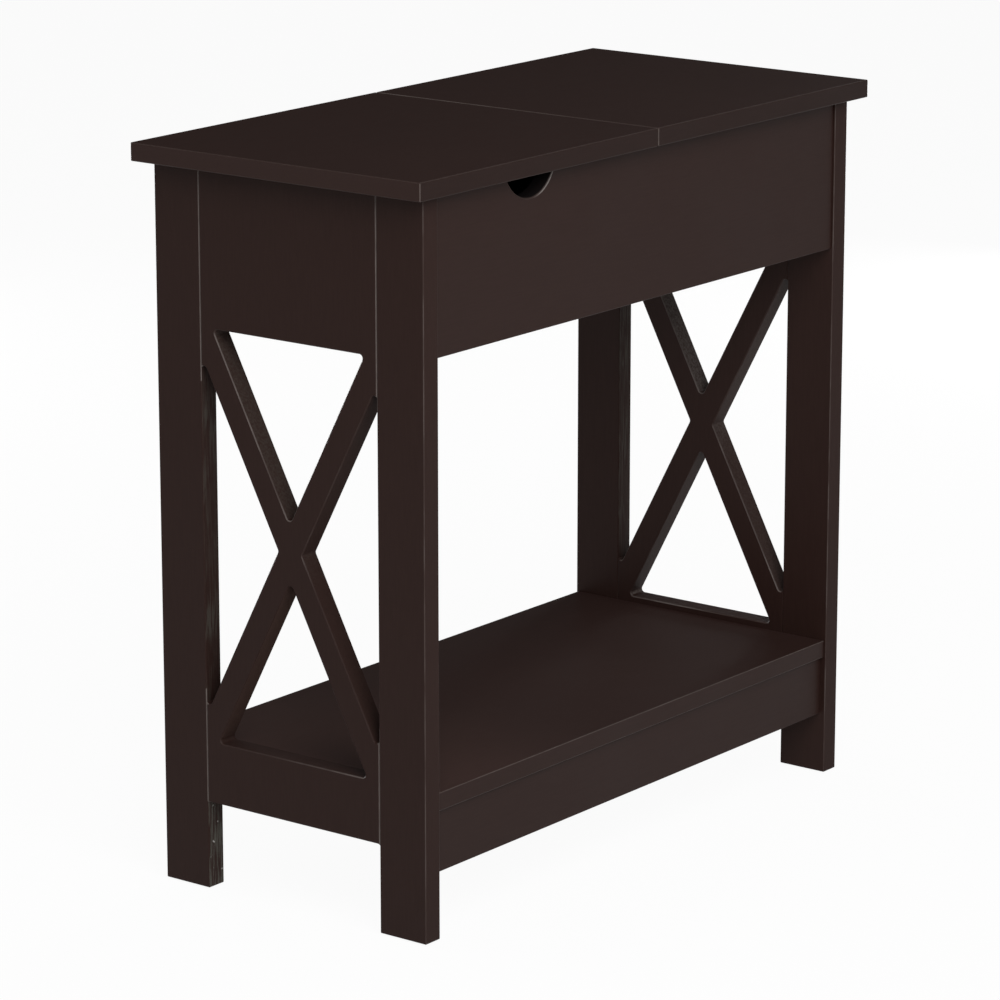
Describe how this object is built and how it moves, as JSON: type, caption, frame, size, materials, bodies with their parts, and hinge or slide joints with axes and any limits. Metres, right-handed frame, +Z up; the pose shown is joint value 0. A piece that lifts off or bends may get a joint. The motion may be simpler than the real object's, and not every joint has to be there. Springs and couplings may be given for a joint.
{
  "type": "lift top end table",
  "caption": "Narrow dark wood end table with X-shaped end panels, an open lower shelf and a hinged half lid over a storage compartment.",
  "frame": {"origin": "centre of the overall box at the floor", "axes": "+X along the length to the right, away from the lid half; the notched front faces -Y; +Z up"},
  "size_m": [0.61, 0.29, 0.61],
  "materials": {
    "top_board": "satin espresso lacquer on board",
    "apron_board": "satin espresso lacquer on board",
    "end_board": "satin espresso lacquer on board",
    "floor_board": "matt espresso lacquer",
    "hinge_steel": "bronze plated",
    "screw_steel": "bronze plated",
    "dowel_wood": "plain beech",
    "cam_metal": "cast zinc",
    "bolt_steel": "zinc plated",
    "glide_plastic": "moulded nylon"
  },
  "bodies": {
    "frame": {"fixed_top": "top_board", "shelf": "top_board", "front_apron": "apron_board", "rear_apron": "apron_board", "centre_divider": "apron_board", "shelf_front_rail": "apron_board", "shelf_rear_rail": "apron_board", "leg_front_left": "end_board", "leg_rear_left": "end_board", "leg_front_right": "end_board", "leg_rear_right": "end_board", "left_end_panel": "end_board", "right_end_panel": "end_board", "compartment_floor": "floor_board", "hinge_fixed_leaf_left": "hinge_steel", "hinge_fixed_leaf_right": "hinge_steel", "hinge_pin_left": "hinge_steel", "hinge_pin_right": "hinge_steel", "hinge_apron_screws": "screw_steel", "end_frame_dowels": "dowel_wood", "apron_dowels": "dowel_wood", "rail_dowels": "dowel_wood", "shelf_end_dowels": "dowel_wood", "shelf_rail_dowels": "dowel_wood", "divider_dowels": "dowel_wood", "top_dowels": "dowel_wood", "apron_cam_locks": "cam_metal", "rail_cam_locks": "cam_metal", "shelf_cam_locks": "cam_metal", "top_cam_locks": "cam_metal", "apron_cam_bolts": "bolt_steel", "rail_cam_bolts": "bolt_steel", "shelf_cam_bolts": "bolt_steel", "top_cam_bolts": "bolt_steel", "foot_glides": "glide_plastic"},
    "lid": {"lid": "top_board", "hinge_lid_leaf_left": "hinge_steel", "hinge_lid_leaf_right": "hinge_steel", "hinge_lid_screws": "screw_steel"}
  },
  "joints": [
    {"name": "lid_hinge", "type": "hinge", "parent": "frame", "child": "lid", "pos_m": [-0.1528, 0.1362, 0.5918], "axis": [-1, 0, 0], "range_deg": [0, 105]}
  ]
}
